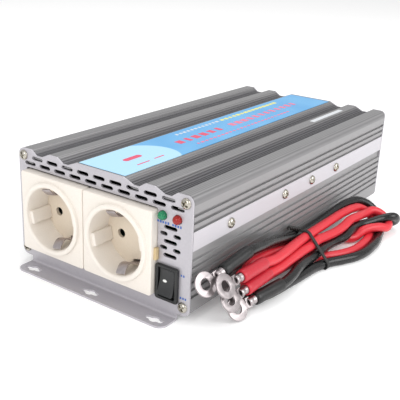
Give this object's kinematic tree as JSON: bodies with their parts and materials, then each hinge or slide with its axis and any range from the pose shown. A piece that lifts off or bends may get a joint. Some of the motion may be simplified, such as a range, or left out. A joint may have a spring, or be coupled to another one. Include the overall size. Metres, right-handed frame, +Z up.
{
  "type": "power inverter",
  "caption": "Ribbed aluminium power inverter with bent steel end panels, earthed round sockets, rocker switch, fan, battery posts and tied ring-ended battery leads.",
  "frame": {"origin": "middle of the inverter (without its leads) on the surface its flanges stand on", "axes": "+Z up, +Y along the case from the socket end to the terminal end, +X to the right when facing the sockets"},
  "size_m": [0.1709, 0.288, 0.074],
  "materials": {
    "aluminium": "grey anodised extrusion",
    "panel_steel": "satin grey lacquer on sheet steel",
    "ivory_plastic": "satin moulded",
    "black_plastic": "fine moulded texture",
    "green_lens": "tinted lens",
    "red_lens": "tinted lens",
    "nickel_screw": "nickel plated",
    "label_film": "printed film",
    "red_plastic": "moulded",
    "brass": "turned",
    "board": "solder mask",
    "ferrite": "matt",
    "capacitor_film": "shrunk film",
    "tinned_copper": "tin plated",
    "red_pvc": "satin flexible insulation",
    "black_pvc": "satin flexible insulation"
  },
  "bodies": {
    "inverter": {"base_plate": "panel_steel", "capacitor": "capacitor_film", "case_extrusion": "aluminium", "circuit_board": "board", "clamp_bar_left": "aluminium", "clamp_bar_right": "aluminium", "fan_frame": "black_plastic", "fan_guard": "black_plastic", "fan_screw_1": "nickel_screw", "fan_screw_2": "nickel_screw", "fan_screw_3": "nickel_screw", "fan_screw_4": "nickel_screw", "front_panel": "panel_steel", "front_screw_1": "nickel_screw", "front_screw_2": "nickel_screw", "front_screw_3": "nickel_screw", "front_screw_4": "nickel_screw", "led_fault": "red_lens", "led_power": "green_lens", "rear_panel": "panel_steel", "rear_screw_1": "nickel_screw", "rear_screw_2": "nickel_screw", "rear_screw_3": "nickel_screw", "rear_screw_4": "nickel_screw", "side_screw_left_1": "nickel_screw", "side_screw_left_2": "nickel_screw", "side_screw_left_3": "nickel_screw", "side_screw_left_4": "nickel_screw", "side_screw_right_1": "nickel_screw", "side_screw_right_2": "nickel_screw", "side_screw_right_3": "nickel_screw", "side_screw_right_4": "nickel_screw", "socket_left_earth_strap": "tinned_copper", "socket_left_housing": "ivory_plastic", "socket_left_insert": "ivory_plastic", "socket_right_earth_strap": "tinned_copper", "socket_right_housing": "ivory_plastic", "socket_right_insert": "ivory_plastic", "switch_body": "black_plastic", "terminal_black_base": "black_plastic", "terminal_black_stud": "brass", "terminal_red_base": "red_plastic", "terminal_red_stud": "brass", "top_label": "label_film", "transformer_1": "ferrite", "transformer_2": "ferrite"},
    "rocker": {"switch_rocker": "black_plastic"},
    "fan": {"fan_rotor": "black_plastic"},
    "knob_red": {"terminal_red_knob": "red_plastic"},
    "knob_black": {"terminal_black_knob": "black_plastic"},
    "leads": {"hank_tie": "black_pvc", "lead_hank": "black_pvc", "ring_terminal_black_1": "tinned_copper", "ring_terminal_black_2": "tinned_copper", "ring_terminal_red_1": "tinned_copper", "ring_terminal_red_2": "tinned_copper", "sleeve_black_1": "black_pvc", "sleeve_black_2": "black_pvc", "sleeve_red_1": "red_pvc", "sleeve_red_2": "red_pvc"}
  },
  "joints": [
    {"name": "rocker_tilt", "type": "hinge", "parent": "inverter", "child": "rocker", "pos_m": [0.0503, -0.12865, 0.0211], "axis": [1, 0, 0], "range_deg": [0, 20]},
    {"name": "fan_spin", "type": "hinge", "parent": "inverter", "child": "fan", "pos_m": [-0.022, 0.112, 0.03895], "axis": [0, 1, 0], "continuous": true},
    {"name": "knob_red_turn", "type": "hinge", "parent": "inverter", "child": "knob_red", "pos_m": [0.022, 0.13595, 0.037], "axis": [0, 1, 0], "continuous": true},
    {"name": "knob_black_turn", "type": "hinge", "parent": "inverter", "child": "knob_black", "pos_m": [0.047, 0.13595, 0.037], "axis": [0, 1, 0], "continuous": true},
    {"name": "leads_draw", "type": "slide", "parent": "inverter", "child": "leads", "axis": [1, 0, 0], "range_m": [0, 0.12]}
  ]
}
